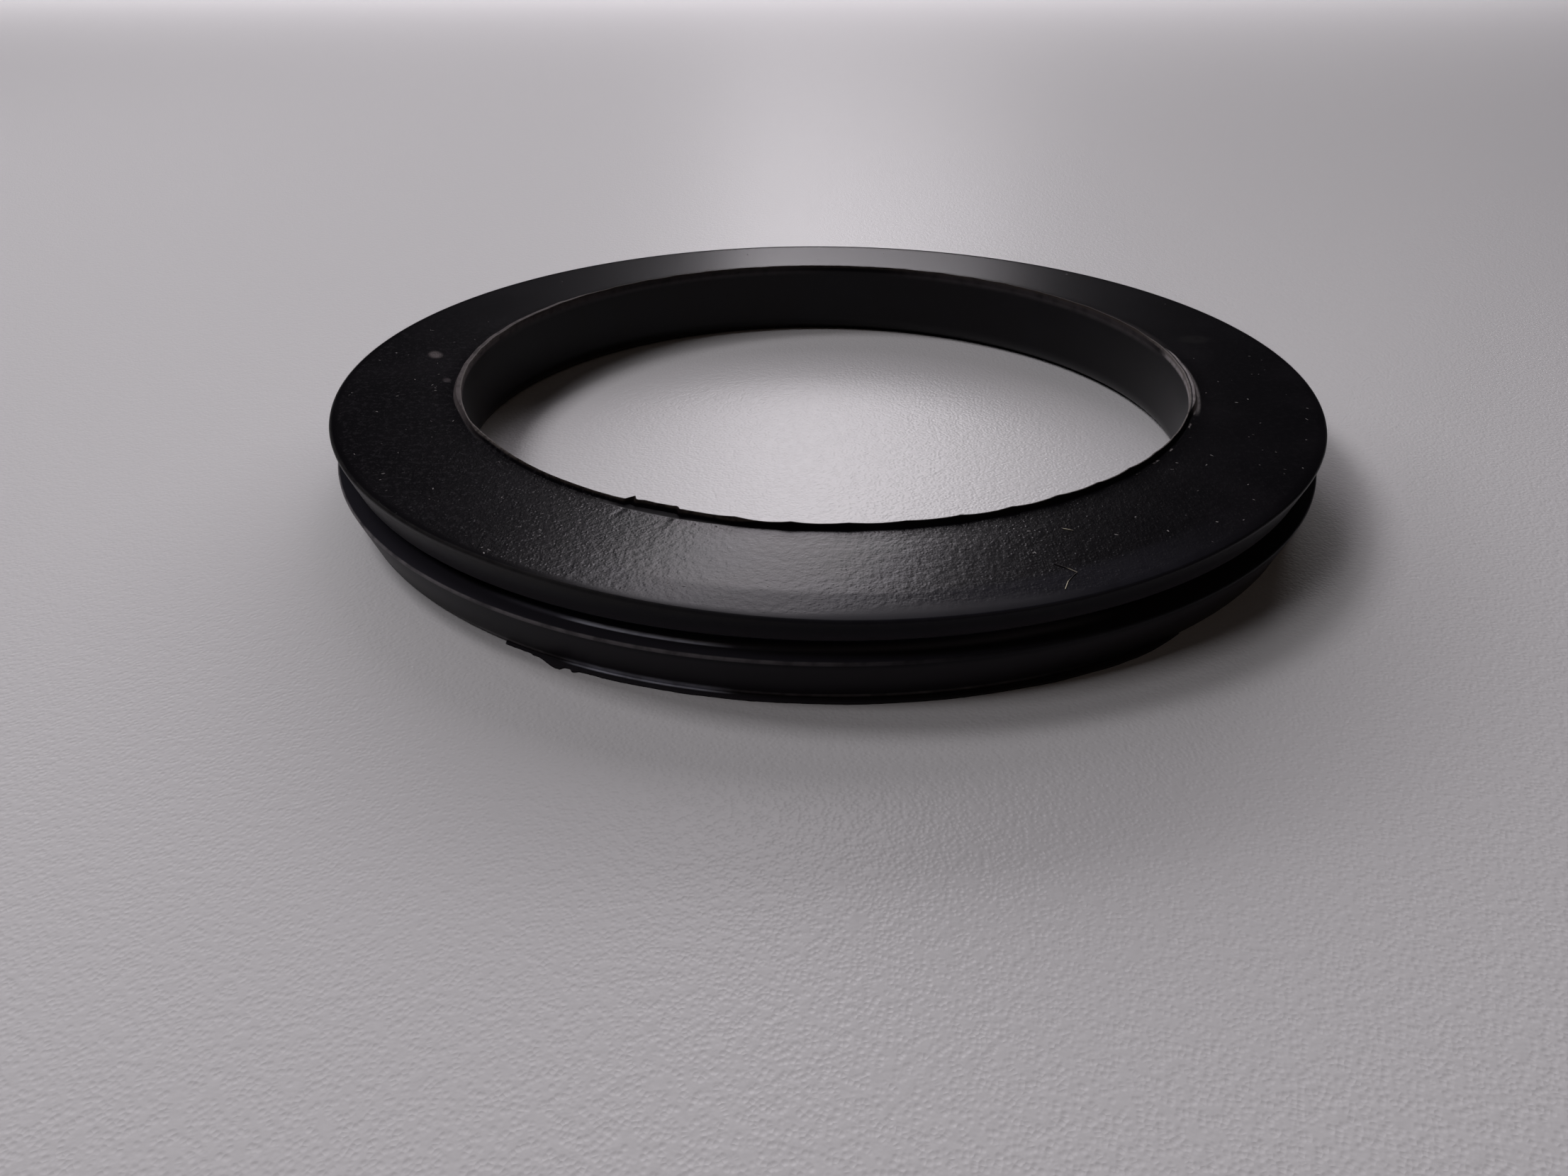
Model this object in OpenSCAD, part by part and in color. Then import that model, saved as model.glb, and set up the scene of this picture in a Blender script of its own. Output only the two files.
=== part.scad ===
// Moulded rubber sealing ring that lies flat on its foot. A flat-topped disc and a lower
// flange share one outside diameter, with a narrow round-bottomed groove between them for
// the edge of a panel. Both edges are drafted, so each is widest at its top. The straight
// bore ends in a thin upstanding lip where the moulding was trimmed, and a skin of flash
// is left under part of the flange. Origin: centre of the foot, +Z up through the bore.

/* [Ring] */
// Diameter of the straight bore
bore_d = 60; // [30:0.5:120]
// Width of the section, from the bore to the widest point of the disc and of the flange
section_w = 10; // [8:0.5:20]
// Height of the flat top face above the foot
ring_h = 6.8; // [6:0.1:9]

/* [Disc] */
// Thickness of the disc above the groove
disc_t = 2.5; // [2:0.1:3]
// Angle by which the edge of the disc leans inward towards the groove
disc_draft = 21; // [0:1:25]
// Radius of the rim between the top face and the edge
rim_round = 0.2; // [0.1:0.05:0.6]
// Radius of the corner at the groove
disc_corner_round = 0.2; // [0.05:0.05:0.4]

/* [Groove] */
// Opening of the groove, from the flange up to the disc
groove_w = 0.9; // [0.6:0.1:1.5]
// Depth of the groove, in from the widest point of the section
groove_depth = 2.4; // [1.8:0.1:4]

/* [Flange] */
// Angle by which the edge of the flange leans inward towards the foot
flange_draft = 21; // [0:1:25]
// Radius of the corner at the groove
flange_corner_round = 0.15; // [0.05:0.05:0.4]
// Radius of the outer corner of the foot
foot_round = 0.3; // [0.1:0.05:0.6]
// Radius of the corner between the foot and the bore
bore_round = 1.6; // [0.1:0.1:2]

/* [Trimmed lip] */
// Height of the lip above the top face
lip_h = 0.45; // [0.3:0.05:0.8]
// Thickness of the lip at the top face
lip_base_t = 0.3; // [0.2:0.05:0.6]
// Thickness of the lip at its crest
lip_crest_t = 0.12; // [0.05:0.01:0.2]
// Length of one wave that the trimming left along the crest
scallop_pitch = 3.6; // [2:0.2:8]
// Depth of each wave
scallop_depth = 0.1; // [0.04:0.02:0.16]
// Direction of the middle of the stretch that was trimmed lower
low_lip_at = -132; // [-180:1:180]
// Angle that the lower stretch spans
low_lip_span = 26; // [5:1:90]
// Height of the lip along the lower stretch
low_lip_h = 0.15; // [0.05:0.05:0.2]

/* [Flash under the flange] */
// Direction of the torn end of the flash
flash_from = -121; // [-180:1:180]
// Angle from the torn end to the end where the flash dies out
flash_span = 68; // [20:1:180]
// Reach of the flash beyond the corner of the foot
flash_reach = 0.6; // [0.2:0.1:1]
// How far its torn edge wanders in and out
flash_tear = 0.12; // [0:0.02:0.2]
// Angle over which the torn end grows to its full reach
flash_grow = 5; // [1:1:10]
// Angle over which the other end dies out
flash_fade = 6; // [1:1:10]
// Thickness of the flash
flash_t = 0.12; // [0.08:0.02:0.2]

/* [Hidden] */
$fn = 180;

rubber = [0.08, 0.08, 0.085];
cut_margin = 1;
flash_step = 1;

bore_r = bore_d / 2;
outer_r = bore_r + section_w;
flange_t = ring_h - disc_t - groove_w;
disc_bottom = ring_h - disc_t;
crest_z = ring_h + lip_h;

// Radius of the sharp corner whose rounding just reaches the widest point of the section
function sharp_r(draft, rounding) = outer_r - rounding + rounding * (1 + sin(draft)) / cos(draft);

rim_r = sharp_r(disc_draft, rim_round);
disc_bottom_r = rim_r - disc_t * tan(disc_draft);
flange_top_r = sharp_r(flange_draft, flange_corner_round);
foot_r = flange_top_r - flange_t * tan(flange_draft);

foot_corner = [foot_r, 0];
bore_corner = [bore_r, 0];
flange_corner = [flange_top_r, flange_t];
disc_corner = [disc_bottom_r, disc_bottom];
rim = [rim_r, ring_h];
lip_foot = [bore_r + lip_base_t, ring_h];
lip_crest = [bore_r + lip_crest_t, crest_z];
groove_floor_r = outer_r - groove_depth;

wave_count = round(PI * bore_d / scallop_pitch);
wave_half = PI * bore_r / wave_count;
wave_r = (wave_half * wave_half + scallop_depth * scallop_depth) / (2 * scallop_depth);

function unit(v) = v / norm(v);

// What rounding takes off a corner, between the edges that run from it towards a and b
module corner_waste(corner, a, b, rounding) {
    to_a = unit(a - corner);
    to_b = unit(b - corner);
    half_angle = acos(to_a * to_b) / 2;
    touch = rounding / tan(half_angle);
    inward = unit(to_a + to_b);
    centre = corner + inward * rounding / sin(half_angle);
    difference() {
        polygon([corner - inward * rounding, corner + to_a * touch, centre, corner + to_b * touch]);
        translate(centre) circle(r = rounding);
    }
}

// Slot with a full-round floor, open to the outside
module groove_profile() {
    translate([groove_floor_r + groove_w / 2, flange_t + groove_w / 2]) {
        circle(r = groove_w / 2);
        translate([0, -groove_w / 2]) square([groove_depth + cut_margin, groove_w]);
    }
}

// Cross-section of the ring, with its lip at full height
module section() {
    difference() {
        polygon([bore_corner, foot_corner, flange_corner, disc_corner, rim,
                 lip_foot, lip_crest, [bore_r, crest_z]]);
        groove_profile();
        corner_waste(bore_corner, foot_corner, [bore_r, ring_h], bore_round);
        corner_waste(foot_corner, bore_corner, flange_corner, foot_round);
        corner_waste(flange_corner, foot_corner, [bore_r, flange_t], flange_corner_round);
        corner_waste(disc_corner, rim, [bore_r, disc_bottom], disc_corner_round);
        corner_waste(rim, disc_corner, [bore_r, ring_h], rim_round);
    }
}

// Shallow hollows that trimming left along the crest of the lip, all round
module crest_waves() {
    for (i = [0 : wave_count - 1])
        rotate(i * 360 / wave_count)
            translate([bore_r, 0, crest_z - scallop_depth + wave_r])
                rotate([0, 90, 0])
                    cylinder(r = wave_r, h = 2 * (lip_base_t + cut_margin), center = true);
}

// Stretch of the lip that was trimmed close to the top face
module low_trim() {
    rotate(low_lip_at - low_lip_span / 2)
        rotate_extrude(angle = low_lip_span)
            translate([bore_r - cut_margin, ring_h + low_lip_h])
                square([lip_base_t + 2 * cut_margin, lip_h + cut_margin]);
}

// Reach of the flash at an angle from its torn end
function flash_edge(angle) =
    let (
        rise = min(1, angle / flash_grow),
        fade = min(1, sqrt(max(0, flash_span - angle) / flash_fade)),
        wander = (sin(47 * angle) + sin(83 * angle)) / 2
    )
    rise * fade * (flash_reach + flash_tear * wander);

function on_circle(radius, angle) = radius * [cos(angle), sin(angle)];

// Thin skin left where the mould halves met, rooted in the foot
module flash() {
    root_r = foot_r - 2 * foot_round;
    angles = [0 : flash_step : flash_span];
    rotate(flash_from)
        linear_extrude(flash_t)
            polygon(concat(
                [for (a = angles) on_circle(foot_r + flash_edge(a), a)],
                [for (a = angles) on_circle(root_r, flash_span - a)]
            ));
}

module seal_ring() {
    color(rubber) {
        difference() {
            rotate_extrude() section();
            crest_waves();
            low_trim();
        }
        flash();
    }
}

seal_ring();
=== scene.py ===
import math

import bpy
from mathutils import Matrix, Vector


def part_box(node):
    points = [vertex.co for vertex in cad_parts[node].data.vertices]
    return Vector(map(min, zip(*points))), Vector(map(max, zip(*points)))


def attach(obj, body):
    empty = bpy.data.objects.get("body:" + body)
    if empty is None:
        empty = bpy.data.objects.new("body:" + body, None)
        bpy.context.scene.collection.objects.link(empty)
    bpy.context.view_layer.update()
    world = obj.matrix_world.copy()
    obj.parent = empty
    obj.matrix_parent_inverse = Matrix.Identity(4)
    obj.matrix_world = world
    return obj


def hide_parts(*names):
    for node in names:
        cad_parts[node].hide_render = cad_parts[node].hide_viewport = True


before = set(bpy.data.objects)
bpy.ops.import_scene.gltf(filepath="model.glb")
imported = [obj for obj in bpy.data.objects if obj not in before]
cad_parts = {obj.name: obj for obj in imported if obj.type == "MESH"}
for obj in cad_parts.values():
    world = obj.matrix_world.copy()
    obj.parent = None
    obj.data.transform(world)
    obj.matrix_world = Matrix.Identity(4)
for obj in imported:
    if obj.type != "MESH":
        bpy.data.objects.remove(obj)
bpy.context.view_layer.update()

# The ring: one moulding in near-black rubber, turned from a single section round the bore.
# The mould gives it a flat top face, drafted edges and a round-bottomed groove. What stands
# along the bore's top edge is the thin lip left by hand trimming, so its height wanders.
MM = 0.001
high_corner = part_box("seal_ring")[1]
outer_r = high_corner.x
crest_z = high_corner.z
section_w = 10 * MM
bore_r = outer_r - section_w
lip_h = 0.45 * MM
lip_base_t = 0.3 * MM
lip_crest_t = 0.12 * MM
top_z = crest_z - lip_h
disc_t = 2.5 * MM
groove_w = 0.9 * MM
groove_depth = 2.4 * MM
disc_lean = math.radians(21)
flange_lean = math.radians(21)
rim_round = 0.2 * MM
disc_corner_round = 0.2 * MM
flange_corner_round = 0.15 * MM
foot_round = 0.3 * MM
bore_round = 1.6 * MM
lip_foot_round = 0.1 * MM
lip_crest_round = 0.04 * MM
flange_t = top_z - disc_t - groove_w
groove_floor_r = outer_r - groove_depth
face_rows = (39.2, 38.4, 37.4, 36.2, 34.8, 33.4, 32.0)
steps_around = 1440

# Directions round the ring are in degrees: 0 is its right, 90 its back and -90 its front.
# A stretch has its middle, how far it holds to either side, and how far off it has died out.
low_lip_from = -145.0
low_lip_to = -119.0
low_lip = ((low_lip_from + low_lip_to) / 2, 12, 17)
wide_lip_left = (172, 22, 34)
wide_lip_right = (-6, 9, 16)
spread_lip = 0.3 * MM

# The bare skin, and the colours painted over it: painted glints on the grain, a painted sheen on the rim, painted
# glints on flange, foot and groove, painted light and reflection on the lip, paler greys that are painted light
# lifting the shade on edges, walls and groove, and the lip's crest colours.
skin = (0.0014, 0.0011, 0.0017)
skin_film = (0.0031, 0.0025, 0.0034)
grain_glint_paint = (0.0085, 0.0074, 0.0090)
edge_shade_lift = (0.0092, 0.0086, 0.0115)
undercut_shade_lift = (0.034, 0.031, 0.036)
rim_sheen = (0.013, 0.012, 0.0125)
flange_edge_glint = (0.10, 0.09, 0.097)
low_wall_shade_lift = (0.013, 0.0117, 0.014)
right_wall_shade_lift = (0.022, 0.0195, 0.0235)
foot_glint = (0.15, 0.135, 0.14)
groove_shade_lift = (0.016, 0.0145, 0.019)
deep_groove_lift = (0.10, 0.095, 0.12)
groove_glint_paint = (0.44, 0.44, 0.52)
back_skirt = (0.026, 0.022, 0.024)
left_lip_light = (0.054, 0.045, 0.047)
right_lip_reflection = (0.15, 0.133, 0.139)
lip_dashes = (0.16, 0.14, 0.145)
crest_brown = (0.030, 0.023, 0.020)
crest_light = (0.075, 0.065, 0.064)
gloss = (1.0, 0.965, 0.99)
film_gloss = (0.96, 0.95, 0.99)
face_marks = (  # x, y, length and width in mm, turn in degrees, colour
    (-33.9, 1.5, 2.1, 1.2, -60, (0.062, 0.052, 0.055)),
    (-31.1, -4.7, 1.2, 0.7, -60, (0.030, 0.025, 0.028)),
    (33.5, 7.5, 3.2, 2.4, 20, (0.0058, 0.0052, 0.0056)),
)


def sharp_r(lean, rounding):
    """Radius of the sharp corner whose rounding just reaches the ring's widest circle."""
    return outer_r - rounding + rounding * (1 + math.sin(lean)) / math.cos(lean)


rim_r = sharp_r(disc_lean, rim_round)
flange_top_r = sharp_r(flange_lean, flange_corner_round)
foot_r = flange_top_r - flange_t * math.tan(flange_lean)
section_corners = [  # radius, height, rounding
    (bore_r, 0, bore_round),
    (foot_r, 0, foot_round),
    (flange_top_r, flange_t, flange_corner_round),
    (groove_floor_r, flange_t, groove_w / 2),
    (groove_floor_r, flange_t + groove_w, groove_w / 2),
    (rim_r - disc_t * math.tan(disc_lean), flange_t + groove_w, disc_corner_round),
    (rim_r, top_z, rim_round),
    *[(row * MM, top_z, 0) for row in face_rows],
    (bore_r + lip_base_t, top_z, lip_foot_round),
    (bore_r + lip_crest_t, crest_z, lip_crest_round),
    (bore_r, crest_z, lip_crest_round),
    (bore_r, top_z - lip_foot_round, 0),
]


def feed(tree, socket, source):
    """Links a socket to another node's output, or sets its plain value."""
    if isinstance(source, bpy.types.NodeSocket):
        tree.links.new(source, socket)
    else:
        socket.default_value = source


def node(tree, kind, inputs=(), **settings):
    """A node of a kind, with its settings made and its inputs fed."""
    made = tree.nodes.new(kind)
    for name, value in settings.items():
        setattr(made, name, value)
    for name, source in dict(inputs).items():
        feed(tree, made.inputs[name], source)
    return made


def calc(tree, operation, *terms):
    """The result of a sum on numbers or other nodes' outputs."""
    made = tree.nodes.new("ShaderNodeMath")
    made.operation = operation
    for socket, term in zip(made.inputs, terms):
        feed(tree, socket, term)
    return made.outputs[0]


def ramp(tree, value, start, end, low=0.0, high=1.0):
    """Eases a value from low at start to high at end."""
    made = node(tree, "ShaderNodeMapRange", {0: value, 1: start, 2: end, 3: low, 4: high},
                interpolation_type="SMOOTHSTEP")
    return made.outputs[0]


def fall(tree, value, start, end):
    """Eases a value from one at start to nothing at end."""
    return ramp(tree, value, start, end, 1.0, 0.0)


def straight(tree, value, start, end):
    """Rises evenly from nothing at start to one at end."""
    return node(tree, "ShaderNodeMapRange", {0: value, 1: start, 2: end}).outputs[0]


def band(tree, value, low, high, soft):
    """One from low to high, easing to nothing over soft beyond each."""
    return calc(tree, "MULTIPLY", ramp(tree, value, low - soft, low), fall(tree, value, high, high + soft))


def both(tree, *masks):
    """The product of several masks."""
    product = masks[0]
    for mask in masks[1:]:
        product = calc(tree, "MULTIPLY", product, mask)
    return product


def either(tree, mask, other):
    """The stronger of two masks."""
    return calc(tree, "MAXIMUM", mask, other)


def outside(tree, mask):
    """What a mask leaves out."""
    return calc(tree, "SUBTRACT", 1, mask)


def at_least(tree, least, mask):
    """A mask that never falls below its least."""
    return calc(tree, "ADD", least, calc(tree, "MULTIPLY", mask, 1 - least))


def facing(tree, angle, centre, near, far):
    """One up to near degrees from a direction round the ring, easing to nothing at far degrees."""
    along = calc(tree, "COSINE", calc(tree, "SUBTRACT", angle, math.radians(centre)))
    return ramp(tree, along, math.cos(math.radians(far)), math.cos(math.radians(near)))


def noise(tree, place, scale, detail):
    """Smooth cloudy noise, from nothing to one."""
    return node(tree, "ShaderNodeTexNoise", {"Vector": place, "Scale": scale, "Detail": detail}).outputs[0]


def round_axis(tree, position):
    """Splits a position into its radius, its angle round the ring and its height."""
    place = node(tree, "ShaderNodeSeparateXYZ", {0: position})
    radius = calc(tree, "SQRT", calc(tree, "ADD", calc(tree, "POWER", place.outputs["X"], 2.0),
                                     calc(tree, "POWER", place.outputs["Y"], 2.0)))
    return radius, calc(tree, "ARCTAN2", place.outputs["Y"], place.outputs["X"]), place.outputs["Z"]


def on_circle(tree, radius, angle, height):
    """The point at a radius, an angle round the ring and a height."""
    return node(tree, "ShaderNodeCombineXYZ", {
        "X": calc(tree, "MULTIPLY", radius, calc(tree, "COSINE", angle)),
        "Y": calc(tree, "MULTIPLY", radius, calc(tree, "SINE", angle)), "Z": height}).outputs[0]


def named_tree(kind, name, sockets, output, output_kind):
    """A tree with its named inputs and one output. Returns it with the sockets of its inputs."""
    tree = bpy.data.node_groups.new(name, kind)
    for label, socket_kind, value in sockets:
        made = tree.interface.new_socket(label, in_out="INPUT", socket_type="NodeSocket" + socket_kind)
        if value is not None:
            made.default_value = value
    given = tree.nodes.new("NodeGroupInput").outputs
    tree.interface.new_socket(output, in_out="OUTPUT", socket_type="NodeSocket" + output_kind)
    return tree, given


def close_round(tree, grid, points):
    """Moves a grid's points to their places, welds its seams and turns its faces outward."""
    weld = 0.0001 * MM
    placed = node(tree, "GeometryNodeSetPosition", {"Geometry": grid.outputs["Mesh"], "Position": points})
    closed = node(tree, "GeometryNodeMergeByDistance", {"Geometry": placed.outputs[0], "Distance": weld})
    outward = node(tree, "GeometryNodeFlipFaces", {"Mesh": closed.outputs[0]})
    return node(tree, "GeometryNodeSetShadeSmooth", {"Geometry": outward.outputs[0]}).outputs[0]


def dress(tree, geometry, material):
    """Ends a tree with real geometry in the given material."""
    whole = node(tree, "GeometryNodeRealizeInstances", {"Geometry": geometry})
    dressed = node(tree, "GeometryNodeSetMaterial", {"Geometry": whole.outputs[0], "Material": material})
    node(tree, "NodeGroupOutput", {"Geometry": dressed.outputs[0]})


def made_by(tree, name, mesh, values):
    """Runs a tree on a mesh, and returns the result as a plain object of that name."""
    source = bpy.data.objects.new(name + " source", mesh)
    bpy.context.scene.collection.objects.link(source)
    modifier = source.modifiers.new(tree.name, "NODES")
    modifier.node_group = tree
    for item in tree.interface.items_tree:
        if item.item_type == "SOCKET" and item.in_out == "INPUT" and item.name in values:
            modifier[item.identifier] = values[item.name]
    evaluated = source.evaluated_get(bpy.context.evaluated_depsgraph_get())
    plain = bpy.data.meshes.new_from_object(evaluated)
    plain.name = name
    bpy.data.objects.remove(source)
    piece = bpy.data.objects.new(name, plain)
    bpy.context.scene.collection.objects.link(piece)
    return piece


def turned_ring_tree():
    """Turns a section into a ring. Its trimmed lip wanders, and its rim sags a little in front."""
    tree, given = named_tree("GeometryNodeTree", "turned ring", [
        ("Section", "Geometry", None),
        ("Segments", "Int", None),
        ("Bore Radius", "Float", None),
        ("Top Height", "Float", None),
        ("Lip Height", "Float", None),
        ("Waves", "Int", 52),
        ("Wave Depth", "Float", 0.1 * MM),
        ("Low Lip Height", "Float", 0.28 * MM),
        ("Low Lip Start", "Float", None),
        ("Low Lip End", "Float", None),
        ("Torn Length", "Float", 16.0),
        ("Torn Depth", "Float", 0.12 * MM),
        ("Lean", "Float", 0.36 * MM),
        ("Torn Lean", "Float", 0.36 * MM),
        ("Spike", "Float", 0.6 * MM),
        ("Spike At", "Float", -114.7),
        ("Spike Half Width", "Float", 0.8),
        ("Pulled Length", "Float", 6.2),
        ("Spread Lip", "Float", None),
        ("Droop", "Float", 0.62 * MM),
        ("Droop At", "Float", -79.0),
        ("Droop Span", "Float", 46.0),
        ("Droop From", "Float", 30.8 * MM),
        ("Droop To", "Float", 39.8 * MM),
        ("Material", "Material", None),
    ], "Geometry", "Geometry")

    # The section, its corners rounded, is laid round the ring on the points of a grid.
    steps_per_metre = 6000
    rounding = node(tree, "GeometryNodeInputNamedAttribute", {"Name": "rounding"}, data_type="FLOAT")
    steps = calc(tree, "ADD", 3, calc(tree, "MULTIPLY", rounding.outputs["Attribute"], steps_per_metre))
    outline = node(tree, "GeometryNodeMeshToCurve", {"Mesh": given["Section"]})
    rounded = node(tree, "GeometryNodeFilletCurve",
                   {"Curve": outline.outputs[0], "Count": steps, "Radius": rounding.outputs["Attribute"],
                    "Limit Radius": True}, mode="POLY")
    profile = node(tree, "GeometryNodeCurveToMesh", {"Curve": rounded.outputs[0]}).outputs[0]
    points = node(tree, "GeometryNodeAttributeDomainSize", {"Geometry": profile}).outputs["Point Count"]
    grid = node(tree, "GeometryNodeMeshGrid", {
        "Size X": points, "Size Y": given["Segments"],
        "Vertices X": calc(tree, "ADD", points, 1), "Vertices Y": calc(tree, "ADD", given["Segments"], 1)})

    place = node(tree, "ShaderNodeSeparateXYZ", {0: node(tree, "GeometryNodeInputPosition").outputs[0]})
    across = calc(tree, "ROUND", calc(tree, "ADD", place.outputs["X"], calc(tree, "DIVIDE", points, 2)))
    around = calc(tree, "ROUND", calc(tree, "ADD", place.outputs["Y"],
                                      calc(tree, "DIVIDE", given["Segments"], 2)))
    turn = calc(tree, "SUBTRACT", calc(tree, "DIVIDE", around, given["Segments"]), 0.5)
    degrees = calc(tree, "MULTIPLY", turn, 360)
    angle = calc(tree, "MULTIPLY", turn, 2 * math.pi)
    sampled = node(tree, "GeometryNodeSampleIndex", {
        "Geometry": profile, "Value": node(tree, "GeometryNodeInputPosition").outputs[0],
        "Index": calc(tree, "FLOORED_MODULO", across, points)}, data_type="FLOAT_VECTOR", domain="POINT")
    corner = node(tree, "ShaderNodeSeparateXYZ", {0: sampled.outputs[0]})
    radius = corner.outputs["X"]
    height = corner.outputs["Z"]

    bore_mm = calc(tree, "MULTIPLY", given["Bore Radius"], 1 / MM)
    on_bore = on_circle(tree, bore_mm, angle, 0.0)
    tear = noise(tree, on_bore, 1.6, 3.0)
    wander = noise(tree, on_bore, 0.35, 2.0)
    ragged = calc(tree, "SUBTRACT", tear, 0.5)

    def past_bore(reach):
        return calc(tree, "ADD", given["Bore Radius"], reach)

    def near_top(share_of_height):
        return calc(tree, "MULTIPLY", given["Top Height"], share_of_height)

    # Height of the lip: shallow waves all round, one stretch cut low, and a torn stretch after it.
    wave = calc(tree, "FRACT", calc(tree, "ADD", calc(tree, "MULTIPLY", turn, given["Waves"]), 0.5))
    from_middle = calc(tree, "SUBTRACT", calc(tree, "MULTIPLY", wave, 2), 1)
    in_front = at_least(tree, 0.35, facing(tree, angle, -85, 50, 80))
    hollow = both(tree, given["Wave Depth"], in_front,
                  outside(tree, calc(tree, "MULTIPLY", from_middle, from_middle)))
    full = calc(tree, "SUBTRACT", given["Lip Height"], hollow)
    low_start, low_end = given["Low Lip Start"], given["Low Lip End"]
    past_low = calc(tree, "ADD", low_end, 3)
    torn_end = calc(tree, "ADD", low_end, given["Torn Length"])
    is_low = both(tree, ramp(tree, degrees, calc(tree, "SUBTRACT", low_start, 6), low_start),
                  fall(tree, degrees, low_end, past_low))
    is_torn = both(tree, ramp(tree, degrees, low_end, past_low),
                   fall(tree, degrees, calc(tree, "SUBTRACT", torn_end, 4), torn_end))
    trimmed = calc(tree, "ADD", full, calc(tree, "MULTIPLY", is_low,
                                           calc(tree, "SUBTRACT", given["Low Lip Height"], full)))
    torn = calc(tree, "SUBTRACT", trimmed, both(tree, is_torn, tear, given["Torn Depth"]))
    stand = calc(tree, "MULTIPLY", torn, ramp(tree, wander, 0.2, 0.8, 0.85, 1.0))
    up_lip = calc(tree, "DIVIDE", calc(tree, "SUBTRACT", height, given["Top Height"]), given["Lip Height"])
    share = calc(tree, "MAXIMUM", up_lip, 0)

    # Both of those stretches lean in over the bore, most of all at one torn tip.
    leaning = both(tree, ramp(tree, degrees, calc(tree, "SUBTRACT", low_start, 8),
                              calc(tree, "ADD", low_start, 3)),
                   fall(tree, degrees, calc(tree, "SUBTRACT", torn_end, 3), calc(tree, "ADD", torn_end, 7)))
    spike_at = given["Spike At"]
    pulled_end = calc(tree, "ADD", spike_at, given["Pulled Length"])
    pulled = both(tree, ramp(tree, degrees, spike_at, calc(tree, "ADD", spike_at, 2)),
                  fall(tree, degrees, pulled_end, calc(tree, "ADD", pulled_end, 1)))
    from_spike = calc(tree, "ABSOLUTE", calc(tree, "SUBTRACT", degrees, spike_at))
    spike = calc(tree, "MAXIMUM", outside(tree, calc(tree, "DIVIDE", from_spike, given["Spike Half Width"])), 0)
    lean = calc(tree, "ADD", both(tree, leaning, calc(tree, "ADD", given["Lean"],
                                                      both(tree, is_torn, ragged, given["Torn Lean"]))),
                calc(tree, "ADD", both(tree, pulled, given["Torn Lean"]), both(tree, spike, given["Spike"])))

    # At the two sides the cut spread the lip outwards into a wider band.
    spread = both(tree, given["Spread Lip"],
                  either(tree, facing(tree, angle, *wide_lip_left), facing(tree, angle, *wide_lip_right)),
                  ramp(tree, radius, past_bore(0.05 * MM), past_bore(0.08 * MM)),
                  fall(tree, radius, past_bore(0.8 * MM), past_bore(1.8 * MM)),
                  ramp(tree, height, near_top(0.98), near_top(0.999)))

    # The rim sags in front. Every point then has its height and its distance from the axis.
    from_droop = calc(tree, "ABSOLUTE", calc(tree, "SUBTRACT", degrees, given["Droop At"]))
    droop = both(tree, given["Droop"], fall(tree, from_droop, 4.0, given["Droop Span"]),
                 straight(tree, radius, given["Droop From"], given["Droop To"]),
                 ramp(tree, height, near_top(0.66), given["Top Height"]))
    rise = calc(tree, "SUBTRACT", calc(tree, "ADD", calc(tree, "MINIMUM", height, given["Top Height"]),
                                       calc(tree, "MULTIPLY", share, stand)), droop)
    on_lip = both(tree, fall(tree, radius, past_bore(0.4 * MM), past_bore(1.8 * MM)),
                  ramp(tree, height, near_top(0.992), near_top(0.999)))
    reach = calc(tree, "SUBTRACT", calc(tree, "ADD", radius, spread), calc(tree, "MULTIPLY", on_lip, lean))

    turned = on_circle(tree, reach, angle, rise)
    dress(tree, close_round(tree, grid, turned), given["Material"])
    return tree


def blasted_grain_group():
    """Grain that a blasted mould leaves in rubber: a faint unevenness, and little domes of mixed height."""
    group, given = named_tree("ShaderNodeTree", "blasted grain", [
        ("Grain Size", "Float", 0.26 * MM),
        ("Dome Height", "Float", 0.46),
        ("Seed", "Float", 0.3),
    ], "Height", "Float")
    mean_height = 0.58
    moved = node(group, "ShaderNodeVectorMath", {0: node(group, "ShaderNodeTexCoord").outputs["Object"],
                                                 1: given["Seed"]}, operation="ADD").outputs[0]
    scale = calc(group, "DIVIDE", 1, given["Grain Size"])
    warp = node(group, "ShaderNodeTexNoise", {"Vector": moved, "Scale": calc(group, "MULTIPLY", scale, 0.5),
                                              "Detail": 2.0, "Roughness": 0.6})
    height = calc(group, "MULTIPLY", warp.outputs[0], 1.1)
    for size, share in ((1.0, 1.0), (0.55, 0.4)):
        cells = node(group, "ShaderNodeTexVoronoi", {
            "Vector": moved, "Scale": calc(group, "DIVIDE", scale, size)}, voronoi_dimensions="2D")
        chance = node(group, "ShaderNodeSeparateColor", {0: cells.outputs["Color"]}).outputs[0]
        dome = both(group, fall(group, cells.outputs["Distance"], 0.0, 0.5),
                    calc(group, "POWER", chance, 2.2), given["Dome Height"], share)
        height = calc(group, "ADD", height, dome)
    node(group, "NodeGroupOutput", {"Height": calc(group, "SUBTRACT", height, mean_height)})
    return group


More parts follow.
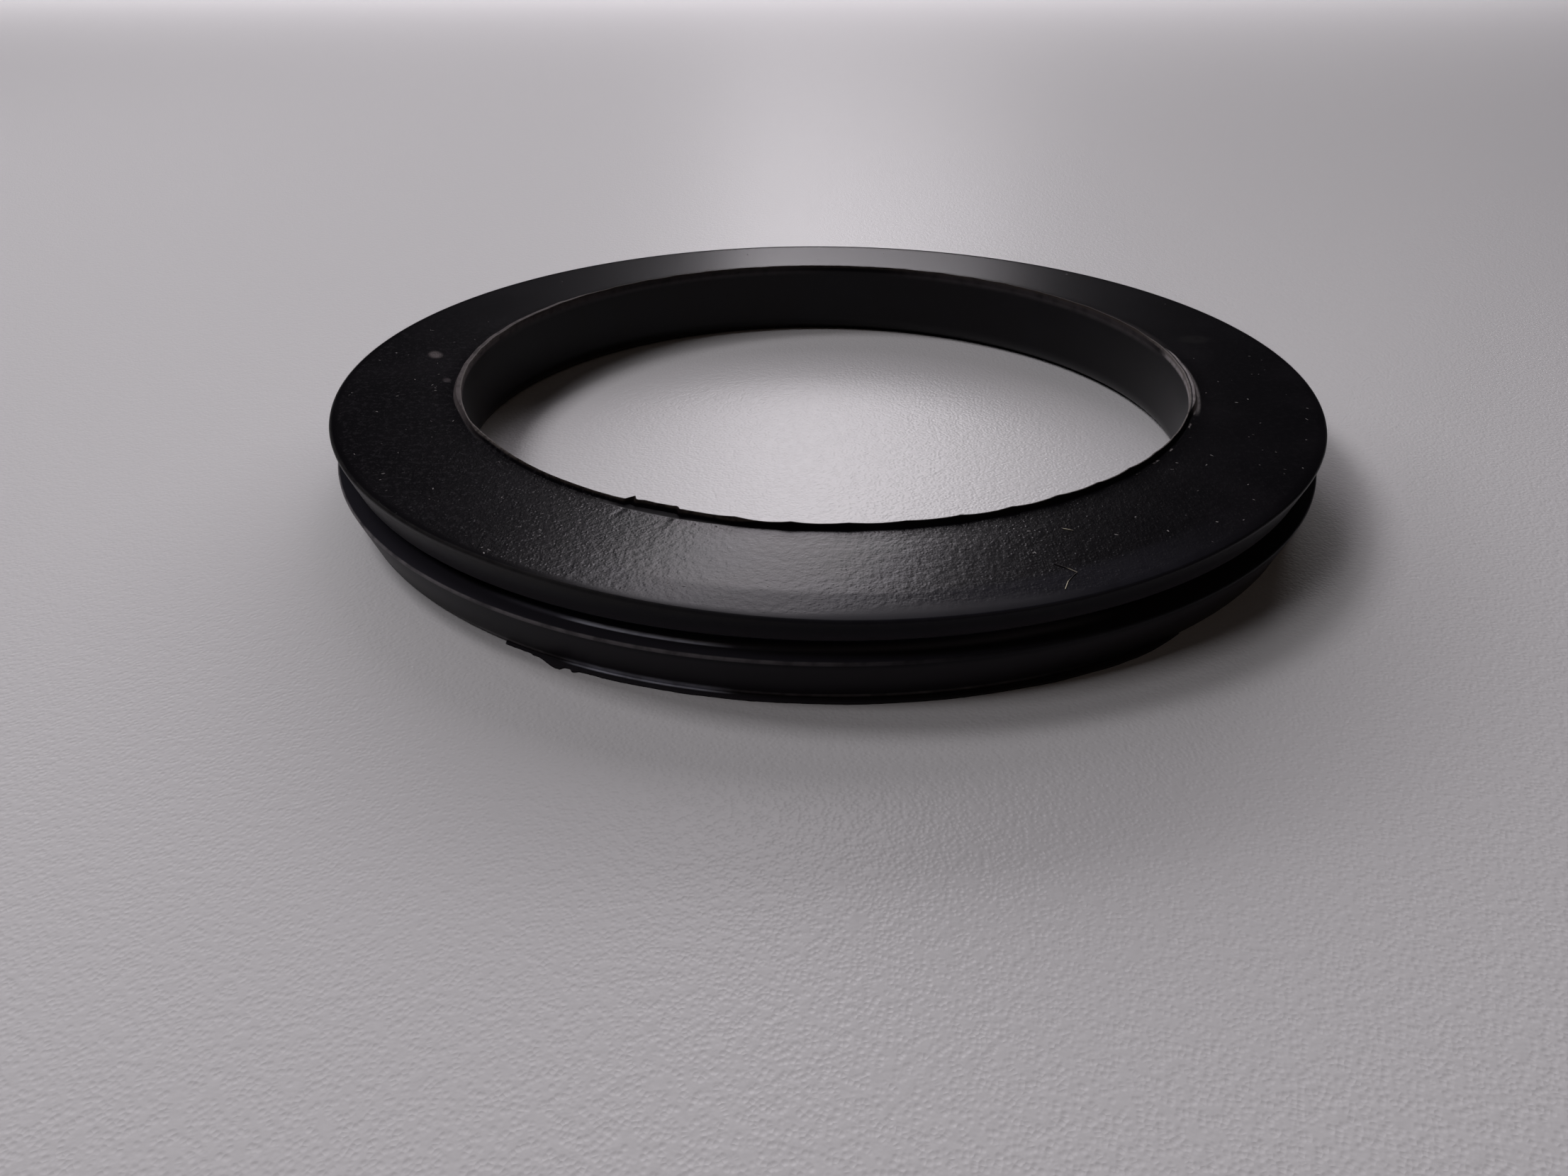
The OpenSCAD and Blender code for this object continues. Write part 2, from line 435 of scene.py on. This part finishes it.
def smear_group():
    """A soft mark on the face: one inside an oval of the given place, size and turn."""
    group, given = named_tree("ShaderNodeTree", "smear", [
        ("X", "Float", 0.0),
        ("Y", "Float", 0.0),
        ("Length", "Float", 1.0 * MM),
        ("Width", "Float", 0.5 * MM),
        ("Turn", "Float", 0.0),
    ], "Mark", "Float")
    place = node(group, "ShaderNodeSeparateXYZ", {0: node(group, "ShaderNodeTexCoord").outputs["Object"]})
    off_x = calc(group, "SUBTRACT", place.outputs["X"], given["X"])
    off_y = calc(group, "SUBTRACT", place.outputs["Y"], given["Y"])
    turn = calc(group, "RADIANS", given["Turn"])
    along = calc(group, "ADD", calc(group, "MULTIPLY", off_x, calc(group, "COSINE", turn)),
                 calc(group, "MULTIPLY", off_y, calc(group, "SINE", turn)))
    beside = calc(group, "SUBTRACT", calc(group, "MULTIPLY", off_y, calc(group, "COSINE", turn)),
                  calc(group, "MULTIPLY", off_x, calc(group, "SINE", turn)))
    squares = [calc(group, "POWER", calc(group, "ABSOLUTE", calc(group, "DIVIDE", off, given[size])), 2.0)
               for off, size in ((along, "Length"), (beside, "Width"))]
    out = calc(group, "SQRT", calc(group, "ADD", *squares))
    node(group, "NodeGroupOutput", {"Mark": fall(group, out, 0.25, 0.6)})
    return group


def paint(tree, under, mask, colour):
    """Lays a colour over a plain colour, or over what is painted already, where the mask is one."""
    base = under if isinstance(under, bpy.types.NodeSocket) else (*under, 1)
    return node(tree, "ShaderNodeMix", {"Factor": mask, "A": base, "B": (*colour, 1)},
                data_type="RGBA").outputs["Result"]


def empty_material(name):
    """A new material, and its node tree with nothing in it."""
    material = bpy.data.materials.new(name)
    material.use_nodes = True
    material.node_tree.nodes.clear()
    return material, material.node_tree


def rubber_material(grain, smear):
    """Near-black moulded rubber: grained and glossy on the flat face, dull on the cut lip and in the groove, with
    painted glints, sheen and paler lifts of shade on its edges, lip and groove.
    """
    material, tree = empty_material("moulded rubber")
    object_place = node(tree, "ShaderNodeTexCoord").outputs["Object"]
    radius, angle, height = round_axis(tree, object_place)

    film = noise(tree, object_place, 160.0, 5.0)
    patch = noise(tree, object_place, 900.0, 3.0)
    fleck = noise(tree, object_place, 2600.0, 2.0)

    def patchy(start, end, least):
        """Breaks a mark up into patches."""
        return ramp(tree, patch, start, end, least, 1.0)

    def towards(centre, near, far):
        return facing(tree, angle, centre, near, far)

    # Where things are: the face, its grain, the lip, the groove, and the edges of disc and flange.
    cut_over = towards(*low_lip)
    on_face = both(tree, ramp(tree, height, top_z - 0.6 * MM, top_z - 0.5 * MM),
                   fall(tree, radius, outer_r - 0.22 * MM, outer_r - 0.1 * MM),
                   either(tree, cut_over, ramp(tree, radius, bore_r + lip_base_t, bore_r + 0.5 * MM)))
    is_grained = both(tree, on_face, fall(tree, radius, outer_r - 0.8 * MM, outer_r - 0.4 * MM))
    spread = either(tree, towards(*wide_lip_left), towards(*wide_lip_right))
    from_lip = calc(tree, "SUBTRACT", radius, calc(tree, "MULTIPLY", spread, spread_lip))
    on_top = ramp(tree, height, top_z - 0.3 * MM, top_z - 0.05 * MM)
    on_lip = both(tree, fall(tree, from_lip, bore_r + 0.28 * MM, bore_r + 0.42 * MM), on_top)
    in_groove = both(tree, ramp(tree, radius, outer_r - 2.6 * MM, outer_r - 2.3 * MM),
                     ramp(tree, height, flange_t - 0.02 * MM, flange_t - 0.001 * MM),
                     fall(tree, height, flange_t + groove_w - 0.3 * MM, flange_t + groove_w))
    is_outer = ramp(tree, radius, outer_r - 3.2 * MM, outer_r - 2.4 * MM)
    is_below = fall(tree, height, top_z - 0.45 * MM, top_z - 0.05 * MM)
    on_flange = ramp(tree, radius, foot_r - 0.5 * MM, foot_r - 0.2 * MM)

    # The blasted grain covers the face. Its domes are lower where the light glances off them, and towards the left
    # front their tops are painted paler: painted glints of the grain.
    full_domes, lost_in_glare = 0.46, 0.28
    bare = paint(tree, skin, ramp(tree, film, 0.4, 0.75), skin_film)
    texture = node(tree, "ShaderNodeGroup", node_tree=grain)
    feed(tree, texture.inputs["Dome Height"], calc(tree, "SUBTRACT", full_domes, calc(
        tree, "MULTIPLY", towards(-91, 12, 26), lost_in_glare)))
    tops = both(tree, texture.outputs["Height"], is_grained)
    glint_side = at_least(tree, 0.25, towards(-146, 34, 60))
    glinted = paint(tree, bare, both(tree, ramp(tree, tops, 0.0, 0.25), glint_side), grain_glint_paint)

    # The edge of the disc is painted paler in patches: a painted lift of the shade on these dim drafted sides.
    edges_lifted = paint(tree, glinted, both(tree, is_outer, is_below, patchy(0.2, 0.6, 0.75)), edge_shade_lift)
    # The undercut below the disc is painted paler: a painted lift of the shade in it.
    in_undercut = both(tree, is_outer, fall(tree, height, top_z - disc_t, top_z - 1.2 * MM),
                       ramp(tree, height, flange_t + 0.5 * MM, flange_t + groove_w))
    undercut = paint(tree, edges_lifted, in_undercut, undercut_shade_lift)
    # The rim towards the left front gets a painted sheen.
    on_rim = both(tree, ramp(tree, radius, outer_r - 0.3 * MM, outer_r - 0.1 * MM),
                  ramp(tree, height, top_z - 1.2 * MM, top_z - 0.8 * MM), towards(-150, 34, 70))
    rim_sheened = paint(tree, undercut, both(tree, on_rim, patchy(0.3, 0.6, 0.5)), rim_sheen)

    # The flange gets painted glints along its top edge and its foot, and its wall is painted paler low down and at
    # the right front, a painted lift of its shade.
    on_edge = both(tree, ramp(tree, radius, outer_r - 0.2 * MM, outer_r - 0.05 * MM),
                   band(tree, height, flange_t - 0.2 * MM, flange_t - 0.04 * MM, 0.08 * MM), patchy(0.3, 0.6, 0.4))
    flange_edge_glinted = paint(tree, rim_sheened, both(tree, on_edge, towards(-140, 30, 66)), flange_edge_glint)
    # Low on the flange wall it is painted paler towards the foot: a painted lift of the shade near the desk.
    low_wall = both(tree, on_flange, fall(tree, height, 0.1 * MM, 2.4 * MM))
    low_wall_lifted = paint(tree, flange_edge_glinted, both(tree, low_wall, 0.9), low_wall_shade_lift)
    # At the right front the flange wall is painted paler: a painted lift of its shade.
    right_wall = both(tree, on_flange, fall(tree, height, flange_t - 0.7 * MM, flange_t - 0.3 * MM),
                      towards(-60, 40, 66))
    right_wall_lifted = paint(tree, low_wall_lifted, both(tree, right_wall, 0.9), right_wall_shade_lift)
    # A painted highlight runs along the foot at the front.
    on_foot = both(tree, ramp(tree, radius, foot_r - 0.08 * MM, foot_r - 0.02 * MM),
                   band(tree, height, 0.24 * MM, 0.38 * MM, 0.1 * MM), patchy(0.35, 0.6, 0.6))
    foot_glinted = paint(tree, right_wall_lifted, both(tree, on_foot, towards(-98, 16, 36)), foot_glint)

    # The groove is painted paler at the front, a painted lift of its shade, most of all far in, where one pale
    # streak is a painted glint.
    groove_lifted = paint(tree, foot_glinted, both(tree, in_groove, towards(-96, 30, 62)), groove_shade_lift)
    # Far in at the front the groove is painted paler still: a painted lift of its deep shade.
    far_in = both(tree, in_groove, towards(-92, 20, 32),
                  fall(tree, radius, outer_r - 1.5 * MM, outer_r - 0.9 * MM))
    deeper = paint(tree, groove_lifted, far_in, deep_groove_lift)
    # The pale streak far in the groove is a painted glint.
    streak = both(tree, ramp(tree, height, flange_t + 0.3 * MM, flange_t + 0.12 * MM), towards(-105.5, 4, 9),
                  band(tree, radius, outer_r - 1.4 * MM, outer_r - 1.12 * MM, 0.13 * MM), patchy(0.25, 0.55, 0.6))
    streaked = paint(tree, deeper, both(tree, streak, 0.9), groove_glint_paint)

    # The lip was cut by hand, and its cut skin is dull. At the two sides it is painted paler: painted light at the
    # left and a painted reflection at the right. Just below it the bore wall is paler at the back left and back
    # right.
    skirt = both(tree, fall(tree, radius, bore_r + 0.7 * MM, bore_r + 1.5 * MM),
                 ramp(tree, height, top_z - 0.7 * MM, top_z - 0.25 * MM),
                 either(tree, towards(42, 20, 38), towards(130, 24, 44)), patchy(0.2, 0.6, 0.45))
    skirted = paint(tree, streaked, skirt, back_skirt)
    # At the left the lip is painted paler: painted light where the lamps catch it.
    left = both(tree, on_lip, towards(172, 26, 44), patchy(0.3, 0.6, 0.45))
    left_lip_lit = paint(tree, skirted, left, left_lip_light)
    split = outside(tree, band(tree, radius, bore_r + 0.14 * MM, bore_r + 0.19 * MM, 0.05 * MM))
    # At the right the lip is painted pale: a painted reflection.
    right = both(tree, fall(tree, radius, bore_r + 0.65 * MM, bore_r + 0.95 * MM), on_top,
                 towards(-6, 9, 15), patchy(0.25, 0.55, 0.5), split)
    bright = paint(tree, left_lip_lit, right, right_lip_reflection)
    dashes = both(tree, band(tree, radius, bore_r + 0.44 * MM, bore_r + 0.5 * MM, 0.07 * MM),
                  ramp(tree, height, top_z - 0.2 * MM, top_z - 0.05 * MM),
                  towards(-32, 12, 20), ramp(tree, patch, 0.5, 0.6))
    dashed = paint(tree, bright, both(tree, dashes, 0.8), lip_dashes)
    on_crest = both(tree, fall(tree, radius, bore_r + 0.08 * MM, bore_r + 0.13 * MM),
                    ramp(tree, height, top_z + 0.1 * MM, top_z + 0.25 * MM),
                    ramp(tree, fleck, 0.3, 0.6, 0.35, 1.0))
    brown = paint(tree, dashed, both(tree, on_crest, 0.7), crest_brown)
    # The crest is painted paler at the right and the left: painted light.
    lit_crest = both(tree, on_crest, either(tree, towards(-24, 26, 44), towards(-168, 22, 34)))
    marked = paint(tree, brown, lit_crest, crest_light)

    # A few old marks on the face.
    for x, y, length, width, turn, colour in face_marks:
        mark = node(tree, "ShaderNodeGroup", {"X": x * MM, "Y": y * MM, "Length": length * MM,
                                              "Width": width * MM, "Turn": turn}, node_tree=smear)
        marked = paint(tree, marked, both(tree, on_face, mark.outputs["Mark"], patchy(0.25, 0.55, 0.5)), colour)

    # Relief and gloss: the face is the glossiest, the cut lip and the groove are dull.
    fading = at_least(tree, 0.3, towards(-92, 42, 72))
    uneven = calc(tree, "ADD", both(tree, texture.outputs["Height"], is_grained, fading),
                  both(tree, calc(tree, "SUBTRACT", patch, 0.5), on_lip, 1.6))
    bump = node(tree, "ShaderNodeBump", {"Strength": 1.0, "Distance": 0.022 * MM, "Height": uneven})
    dull = either(tree, both(tree, on_lip, outside(tree, cut_over)), in_groove)
    rough = calc(tree, "ADD", calc(tree, "SUBTRACT", 0.42, calc(tree, "MULTIPLY", on_face, 0.16)),
                 calc(tree, "MULTIPLY", dull, 0.2))
    less = calc(tree, "ADD", both(tree, is_outer, is_below, 0.155), calc(tree, "MULTIPLY", on_lip, 0.15))
    shine = calc(tree, "SUBTRACT", calc(tree, "ADD", 0.264, calc(tree, "MULTIPLY", film, 0.02)), less)
    tint = paint(tree, gloss, ramp(tree, film, 0.42, 0.62), film_gloss)
    shader = node(tree, "ShaderNodeBsdfPrincipled", {
        "Base Color": marked, "Roughness": rough, "Specular IOR Level": shine, "Specular Tint": tint,
        "Normal": bump.outputs[0]})
    node(tree, "ShaderNodeOutputMaterial", {"Surface": shader.outputs[0]})
    return material


rubber = rubber_material(blasted_grain_group(), smear_group())
section = bpy.data.meshes.new("ring section")
section.from_pydata([(r, 0, z) for r, z, _ in section_corners],
                    [(i, (i + 1) % len(section_corners)) for i in range(len(section_corners))], [])
section.attributes.new("rounding", "FLOAT", "POINT").data.foreach_set(
    "value", [rounding for _, _, rounding in section_corners])
ring = made_by(turned_ring_tree(), "rubber_ring", section, {
    "Segments": steps_around, "Bore Radius": bore_r, "Top Height": top_z, "Lip Height": lip_h,
    "Low Lip Start": low_lip_from, "Low Lip End": low_lip_to, "Spread Lip": spread_lip, "Material": rubber})
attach(ring, "root")
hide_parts("seal_ring")

# The torn flash: a thin skin of the same rubber that the mould's bottom joint let out along
# the foot. It was pulled off by hand, so it starts ragged, with tufts, and tapers away.
flash_from = -121
flash_span = 68
flash_reach = 0.6 * MM
flash_t = 0.12 * MM
flash_root_r = foot_r - 2 * foot_round


def torn_flash_tree():
    """Runs a thin, ragged skin along part of the ring's foot, closed to a point at both ends."""
    tree, given = named_tree("GeometryNodeTree", "torn flash", [
        ("Segments", "Int", 900),
        ("Steps Across", "Int", 8),
        ("Start", "Float", None),
        ("Span", "Float", None),
        ("Root Radius", "Float", None),
        ("Foot Radius", "Float", None),
        ("Reach", "Float", None),
        ("Raggedness", "Float", 0.16 * MM),
        ("Tuft Length", "Float", 0.3 * MM),
        ("Tuft At", "Float", 7.3),
        ("Thickness", "Float", None),
        ("Material", "Material", None),
    ], "Geometry", "Geometry")
    loop = calc(tree, "MULTIPLY", given["Steps Across"], 2)
    grid = node(tree, "GeometryNodeMeshGrid", {
        "Size X": 1.0, "Size Y": 1.0,
        "Vertices X": calc(tree, "ADD", loop, 1), "Vertices Y": calc(tree, "ADD", given["Segments"], 1)})
    place = node(tree, "ShaderNodeSeparateXYZ", {0: node(tree, "GeometryNodeInputPosition").outputs[0]})
    lap = outside(tree, calc(tree, "ABSOLUTE", calc(tree, "MULTIPLY", place.outputs["X"], 2)))
    is_upper = calc(tree, "GREATER_THAN", place.outputs["X"], 0.0)
    along = calc(tree, "ADD", place.outputs["Y"], 0.5)
    run = calc(tree, "MULTIPLY", along, given["Span"])
    left_to_run = calc(tree, "SUBTRACT", given["Span"], run)
    angle = calc(tree, "RADIANS", calc(tree, "ADD", given["Start"], run))

    # Reach of the skin: a blocky start with a step in it, two tufts, a ragged edge and a long fade.
    foot_mm = calc(tree, "MULTIPLY", given["Foot Radius"], 1 / MM)
    at_foot = on_circle(tree, foot_mm, angle, 4.0)
    slow = noise(tree, at_foot, 0.45, 2.0)
    quick = noise(tree, at_foot, 2.6, 3.0)
    torn = ramp(tree, run, 9.0, 16.0, 1.0, 0.15)
    ragged = calc(tree, "MULTIPLY", given["Raggedness"], calc(
        tree, "ADD", calc(tree, "SUBTRACT", slow, 0.5),
        calc(tree, "MULTIPLY", calc(tree, "SUBTRACT", quick, 0.5), torn)))
    past_tuft = calc(tree, "SUBTRACT", run, given["Tuft At"])
    first_tuft = both(tree, straight(tree, past_tuft, -2.8, 0.0), fall(tree, past_tuft, 0.0, 0.35))
    second_tuft = both(tree, straight(tree, past_tuft, 0.9, 1.25), ramp(tree, past_tuft, 1.3, 2.0, 0.7, 0.0))
    tuft = calc(tree, "MULTIPLY", given["Tuft Length"], either(tree, first_tuft, second_tuft))
    step = calc(tree, "ADD", ramp(tree, run, 0.0, 0.3, 0.0, 0.42), ramp(tree, run, 3.5, 3.8, 0.0, 0.16))
    rise = calc(tree, "ADD", step, ramp(tree, run, 4.0, 7.0, 0.0, 0.42))
    fade = calc(tree, "SQRT", calc(tree, "MAXIMUM", ramp(tree, left_to_run, 0.0, 9.0), 0.0))
    reach = both(tree, rise, fade, calc(tree, "ADD", given["Reach"], calc(tree, "ADD", ragged, tuft)))
    tip = calc(tree, "ADD", given["Foot Radius"], reach)
    radius = calc(tree, "ADD", given["Root Radius"],
                  calc(tree, "MULTIPLY", lap, calc(tree, "SUBTRACT", tip, given["Root Radius"])))

    # Height of its upper side, which thins towards the torn edge and closes at the two ends.
    ends = calc(tree, "MULTIPLY", ramp(tree, run, 0.0, 0.6), ramp(tree, left_to_run, 0.0, 0.6))
    thin = calc(tree, "SQRT", calc(tree, "MAXIMUM", outside(tree, calc(tree, "POWER", lap, 3.0)), 0.0))
    height = calc(tree, "MULTIPLY", both(tree, is_upper, ends, calc(tree, "GREATER_THAN", lap, 0.01)),
                  calc(tree, "MULTIPLY", given["Thickness"], thin))
    laid = on_circle(tree, radius, angle, height)
    dress(tree, close_round(tree, grid, laid), given["Material"])
    return tree


flash = made_by(torn_flash_tree(), "torn_flash", bpy.data.meshes.new("flash start"), {
    "Start": flash_from, "Span": flash_span, "Root Radius": flash_root_r, "Foot Radius": foot_r,
    "Reach": flash_reach, "Thickness": flash_t, "Material": rubber})
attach(flash, "root")

# Dust: pale specks and short dashes of lint that lie on the flat face, thickest at the two sides.
# They are small flattened pebbles, half sunk, so that none of them hangs above the rubber.
speck_count = 130
speck_length = 0.34 * MM
speck_width = 0.12 * MM
lint_shade = (0.035, 0.031, 0.034)
grey_lint = (0.24, 0.22, 0.225)


def dust_tree():
    """Strews flattened pebbles over the upward face of a ring."""
    tree, given = named_tree("GeometryNodeTree", "strewn dust", [
        ("Ring", "Geometry", None),
        ("Density", "Float", None),
        ("Seed", "Int", None),
        ("Inner Radius", "Float", None),
        ("Outer Radius", "Float", None),
        ("Face Height", "Float", None),
        ("Length", "Float", None),
        ("Width", "Float", None),
        ("Material", "Material", None),
    ], "Geometry", "Geometry")
    radius, angle, height = round_axis(tree, node(tree, "GeometryNodeInputPosition").outputs[0])
    normal = node(tree, "ShaderNodeSeparateXYZ", {0: node(tree, "GeometryNodeInputNormal").outputs[0]})
    is_face = both(tree, calc(tree, "GREATER_THAN", normal.outputs["Z"], 0.95),
                   calc(tree, "GREATER_THAN", height, given["Face Height"]),
                   calc(tree, "GREATER_THAN", radius, given["Inner Radius"]),
                   calc(tree, "LESS_THAN", radius, given["Outer Radius"]))
    sides = either(tree, facing(tree, angle, -150, 20, 60),
                   calc(tree, "MULTIPLY", facing(tree, angle, -35, 25, 60), 0.7))
    density = both(tree, given["Density"], is_face, calc(tree, "ADD", 0.12, sides))
    strewn = node(tree, "GeometryNodeDistributePointsOnFaces", {
        "Mesh": given["Ring"], "Density": density, "Seed": given["Seed"]}, distribute_method="RANDOM")
    pebble = node(tree, "GeometryNodeMeshIcoSphere", {"Radius": 0.5, "Subdivisions": 1})

    def chance(least, most, seed):
        return node(tree, "FunctionNodeRandomValue", {"Min": least, "Max": most, "Seed": seed},
                    data_type="FLOAT").outputs[1]

    size, slim, spin = chance(0.35, 1.0, 11), chance(0.5, 1.0, 13), chance(0.0, 2 * math.pi, 17)
    scale = node(tree, "ShaderNodeCombineXYZ", {
        "X": both(tree, size, given["Length"]),
        "Y": both(tree, slim, given["Width"]),
        "Z": both(tree, slim, given["Width"], 0.5)})
    turned = node(tree, "ShaderNodeCombineXYZ", {"X": 0.0, "Y": 0.0, "Z": spin})
    laid = node(tree, "GeometryNodeInstanceOnPoints", {
        "Points": strewn.outputs["Points"], "Instance": pebble.outputs["Mesh"], "Scale": scale.outputs[0],
        "Rotation": turned.outputs[0]})
    dress(tree, laid.outputs[0], given["Material"])
    return tree


def lint_material(name, pale):
    """Lint that is uneven in tone from one speck to the next, up to the given pale colour."""
    material, tree = empty_material(name)
    uneven = noise(tree, node(tree, "ShaderNodeTexCoord").outputs["Object"], 900.0, 1.0)
    colour = paint(tree, lint_shade, ramp(tree, uneven, 0.38, 0.66), pale)
    shader = node(tree, "ShaderNodeBsdfPrincipled", {"Base Color": colour, "Roughness": 0.8,
                                                     "Specular IOR Level": 0.2})
    node(tree, "ShaderNodeOutputMaterial", {"Surface": shader.outputs[0]})
    return material


face_area = math.pi * (outer_r ** 2 - bore_r ** 2)
bare_share = 2.2  # makes up for the stretches where less dust lies
dust = made_by(dust_tree(), "dust_specks", ring.data, {
    "Density": bare_share * speck_count / face_area, "Seed": 7, "Inner Radius": bore_r + 1.0 * MM,
    "Outer Radius": outer_r - 0.7 * MM, "Face Height": top_z - 0.5 * MM,
    "Length": speck_length, "Width": speck_width, "Material": lint_material("grey lint", grey_lint)})
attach(dust, "root")

# Two strands of lint lie on the face at the right front: a bent fibre and a short straight one.
# Each is dropped from above onto whatever lies below it, so it follows the sagging rim.
strand_r = 0.028 * MM
drop_height = 20 * MM
straw_lint = (0.40, 0.35, 0.28)
strands = (
    ((14.1, -33.5), (14.7, -33.9), (15.3, -34.4), (15.0, -34.8), (14.6, -35.4), (14.3, -36.2)),
    ((15.3, -29.4), (15.9, -29.6)),
)


def fibre_tree():
    """Lays strands on whatever lies below them, and gives them a round section."""
    tree, given = named_tree("GeometryNodeTree", "laid fibre", [
        ("Strands", "Geometry", None),
        ("Under", "Object", None),
        ("Radius", "Float", None),
        ("Material", "Material", None),
    ], "Geometry", "Geometry")
    curve = node(tree, "GeometryNodeMeshToCurve", {"Mesh": given["Strands"]})
    fine = node(tree, "GeometryNodeSubdivideCurve", {"Curve": curve.outputs[0], "Cuts": 5})
    below = node(tree, "GeometryNodeObjectInfo", {"Object": given["Under"]})
    down = node(tree, "GeometryNodeRaycast", {"Target Geometry": below.outputs["Geometry"],
                                              "Ray Direction": (0, 0, -1), "Ray Length": 0.1})
    lift = node(tree, "ShaderNodeCombineXYZ", {
        "X": 0.0, "Y": 0.0, "Z": calc(tree, "MULTIPLY", given["Radius"], 0.9)})
    rest = node(tree, "ShaderNodeVectorMath", {0: down.outputs["Hit Position"], 1: lift.outputs[0]},
                operation="ADD")
    placed = node(tree, "GeometryNodeSetPosition", {"Geometry": fine.outputs[0], "Position": rest.outputs[0]})
    across = node(tree, "GeometryNodeCurvePrimitiveCircle", {"Resolution": 8, "Radius": given["Radius"]})
    tube = node(tree, "GeometryNodeCurveToMesh", {
        "Curve": placed.outputs[0], "Profile Curve": across.outputs[0], "Fill Caps": True})
    dress(tree, tube.outputs[0], given["Material"])
    return tree


strand_points = []
strand_edges = []
for strand in strands:
    first = len(strand_points)
    strand_points += [(x * MM, y * MM, drop_height) for x, y in strand]
    strand_edges += [(first + i, first + i + 1) for i in range(len(strand) - 1)]
strand_mesh = bpy.data.meshes.new("strands")
strand_mesh.from_pydata(strand_points, strand_edges, [])
fibre = made_by(fibre_tree(), "lint_fibre", strand_mesh, {
    "Under": ring, "Radius": strand_r, "Material": lint_material("straw lint", straw_lint)})
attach(fibre, "root")

# The floor is a pale desk top with a fine pebbled finish. It only stages the ring.
floor_half = 2.0
desk_grey = (0.46, 0.44, 0.46)
floor_mesh = bpy.data.meshes.new("desk top")
floor_mesh.from_pydata([(-floor_half, -floor_half, 0), (floor_half, -floor_half, 0),
                        (floor_half, floor_half, 0), (-floor_half, floor_half, 0)], [], [(0, 1, 2, 3)])
floor = bpy.data.objects.new("desk_top", floor_mesh)
bpy.context.scene.collection.objects.link(floor)


def desk_material():
    """Pale matt laminate with a fine pebbled relief."""
    material, tree = empty_material("desk top")
    place = node(tree, "ShaderNodeTexCoord").outputs["Object"]
    pebble = node(tree, "ShaderNodeTexVoronoi", {"Vector": place, "Scale": 3600.0}).outputs["Distance"]
    swell = noise(tree, place, 1500.0, 2.0)
    uneven = calc(tree, "ADD", calc(tree, "MULTIPLY", ramp(tree, pebble, 0.1, 0.7), 0.45), swell)
    bump = node(tree, "ShaderNodeBump", {"Strength": 1.0, "Distance": 0.03 * MM, "Height": uneven})
    shader = node(tree, "ShaderNodeBsdfPrincipled", {"Base Color": (*desk_grey, 1), "Roughness": 0.32,
                                                     "Specular IOR Level": 0.24, "Normal": bump.outputs[0]})
    node(tree, "ShaderNodeOutputMaterial", {"Surface": shader.outputs[0]})
    return material


floor_mesh.materials.append(desk_material())

# Light: a low soft window behind the ring shines in its flat face, and a wide, dim wall lights
# the desk from the back. Two lamps at the left give the shadows, and a warm one fills them a little.


def soft_panel(name, azimuth, elevation, distance, size, power, roll=0.0, colour=(1, 1, 1)):
    """A rectangular lamp that faces the ring; azimuth 0 is behind the ring, positive to the right."""
    lamp = bpy.data.lights.new(name, "AREA")
    lamp.shape = "RECTANGLE"
    lamp.size, lamp.size_y = size
    lamp.energy = power
    lamp.color = colour
    panel = bpy.data.objects.new(name, lamp)
    bpy.context.scene.collection.objects.link(panel)
    around, up = math.radians(azimuth), math.radians(elevation)
    panel.location = distance * Vector((math.sin(around) * math.cos(up), math.cos(around) * math.cos(up),
                                        math.sin(up)))
    aim = panel.location.to_track_quat("Z", "Y").to_matrix() @ Matrix.Rotation(math.radians(roll), 3, "Z")
    panel.rotation_euler = aim.to_euler()
    panel.visible_camera = False
    return panel


soft_panel("low window panel", -1.7, 33.4, 1.0, (0.25, 0.57), 1.94, roll=-16, colour=(1.0, 0.95, 1.0))
for name, azimuth, elevation, distance, size, power in (
        ("back wall bounce", -8, 18, 1.0, (1.6, 0.3), 15.0),
        ("near left lamp", -70, 54, 0.4, (0.1, 0.1), 0.53),
        ("far left lamp", -110, 54, 0.9, (0.3, 0.3), 2.2)):
    soft_panel(name, azimuth, elevation, distance, size, power).visible_glossy = False
soft_panel("warm fill", 135, 40, 1.0, (0.6, 0.4), 0.3, colour=(1.0, 0.8, 0.62))

# The room is dim in what it lights, and pale where the camera sees past the desk.
dim_room = (0.01, 0.01, 0.011)
pale_wall = (0.6, 0.59, 0.6)
world = bpy.data.worlds.new("room")
bpy.context.scene.world = world
world.use_nodes = True
room = world.node_tree
room.nodes.clear()
seen = node(room, "ShaderNodeLightPath").outputs["Is Camera Ray"]
tone = paint(room, dim_room, seen, pale_wall)
background = node(room, "ShaderNodeBackground", {"Color": tone})
node(room, "ShaderNodeOutputWorld", {"Surface": background.outputs[0]})

# The camera looks down at the ring from close in front.
camera_data = bpy.data.cameras.new("camera")
camera_data.sensor_width = 36
camera_data.lens = 26.04
camera_data.clip_start = 0.005
camera = bpy.data.objects.new("camera", camera_data)
bpy.context.scene.collection.objects.link(camera)
eye = Matrix.Translation((0, -93.23 * MM, 40.14 * MM))
pan = Matrix.Rotation(math.radians(2.05), 4, "Z")
tip = Matrix.Rotation(math.radians(90 - 30.84), 4, "X")
level = Matrix.Rotation(math.radians(-0.14), 4, "Z")
camera.matrix_world = eye @ pan @ tip @ level
bpy.context.scene.camera = camera
bpy.context.scene.view_settings.view_transform = "Standard"
